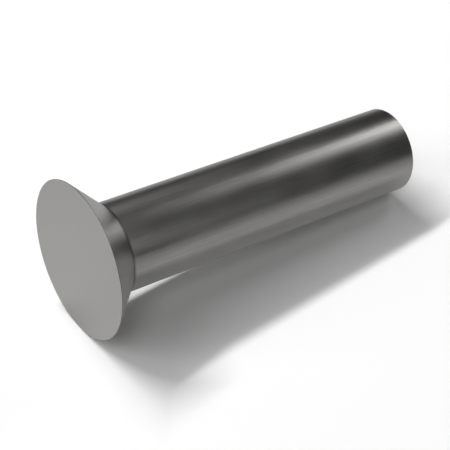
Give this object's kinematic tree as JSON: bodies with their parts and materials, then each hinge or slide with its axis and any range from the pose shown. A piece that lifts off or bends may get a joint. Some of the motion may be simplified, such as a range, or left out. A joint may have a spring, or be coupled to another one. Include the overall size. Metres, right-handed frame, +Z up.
{
  "type": "solid rivet",
  "caption": "Flat countersunk-head solid rivet in plain steel: its cone fills a countersink and its shank is upset to join plates.",
  "frame": {"origin": "centre of the tail's flat end face, which the rivet stands on", "axes": "+Z up the rivet's axis, from the tail to the flat top of the head; X and Y are any two square directions, as the form is round"},
  "size_m": [0.0104, 0.0104, 0.0249],
  "materials": {
    "steel": "plain dark steel, satin, fine draw marks along the shank"
  },
  "bodies": {
    "root": {"rivet": "steel"}
  },
  "joints": []
}
